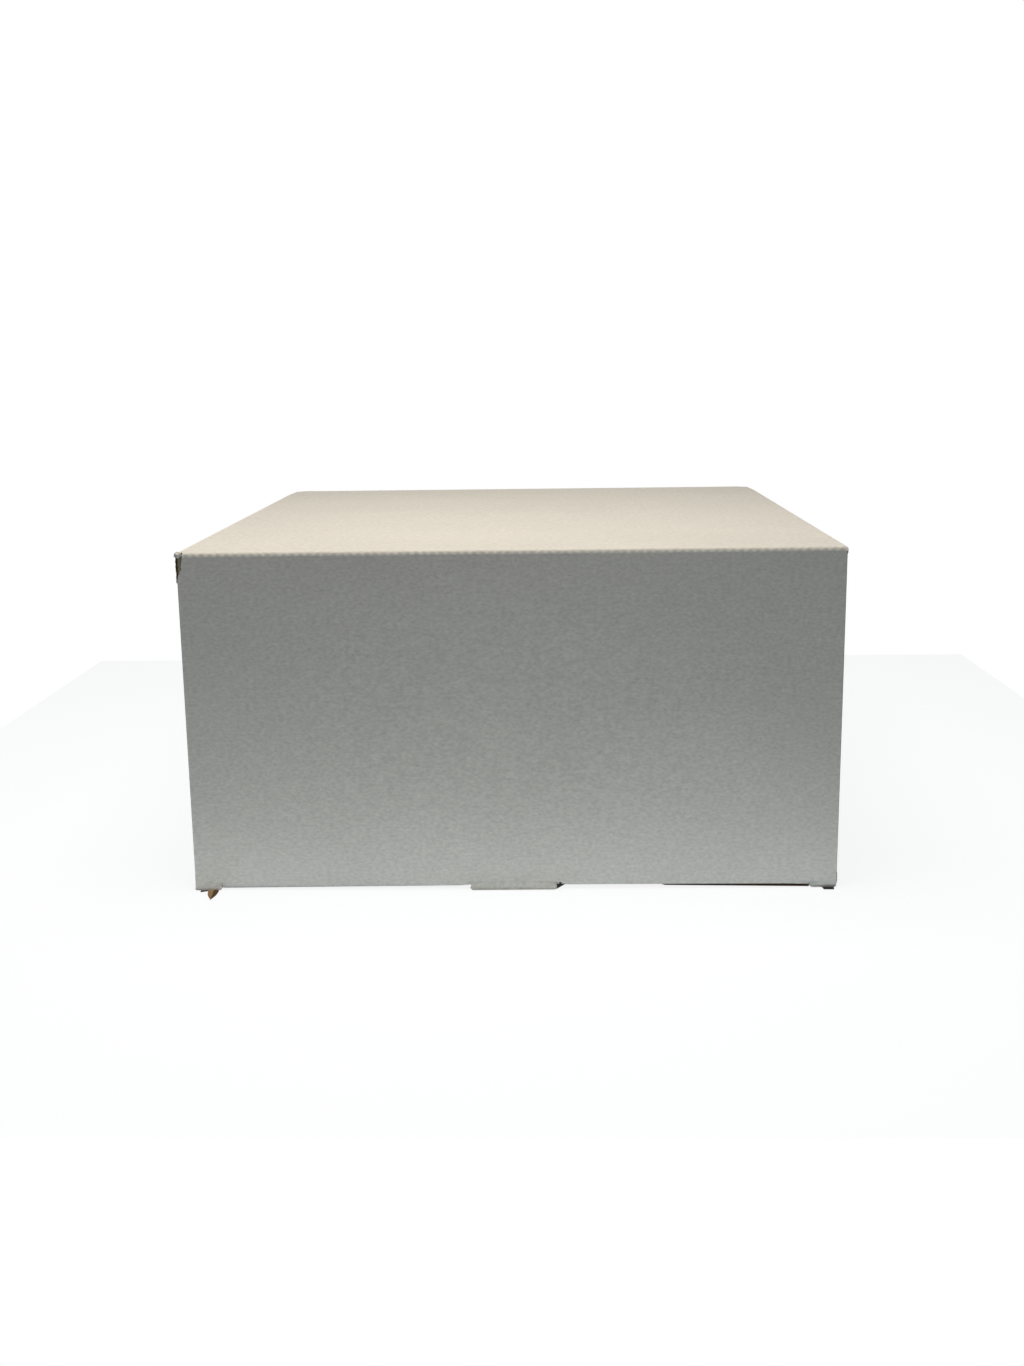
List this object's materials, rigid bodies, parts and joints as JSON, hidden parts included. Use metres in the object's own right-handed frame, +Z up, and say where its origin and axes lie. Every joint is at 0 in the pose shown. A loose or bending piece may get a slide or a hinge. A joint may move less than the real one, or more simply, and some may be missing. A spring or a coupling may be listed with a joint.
{
  "type": "cake box",
  "caption": "Corrugated board cake box, closed, with a tucked closure at its front and back that swings up to slide a cake in.",
  "frame": {"origin": "on the table, under the middle of the box, on the underside of the base panel", "axes": "+X to the right as the front is faced, +Y from front to back, +Z up"},
  "size_m": [0.26, 0.2711, 0.138],
  "materials": {
    "white_board": "matt white liner outside, brown kraft liner inside"
  },
  "bodies": {
    "carton": {"carton": "white_board"},
    "front_closure": {"front_closure": "white_board"},
    "back_closure": {"back_closure": "white_board"}
  },
  "joints": [
    {"name": "front_fold", "type": "hinge", "parent": "carton", "child": "front_closure", "pos_m": [0, -0.12959, 0.13759], "axis": [-1, 0, 0], "range_deg": [0, 135]},
    {"name": "back_fold", "type": "hinge", "parent": "carton", "child": "back_closure", "pos_m": [0, 0.12959, 0.13759], "axis": [1, 0, 0], "range_deg": [0, 135]}
  ]
}
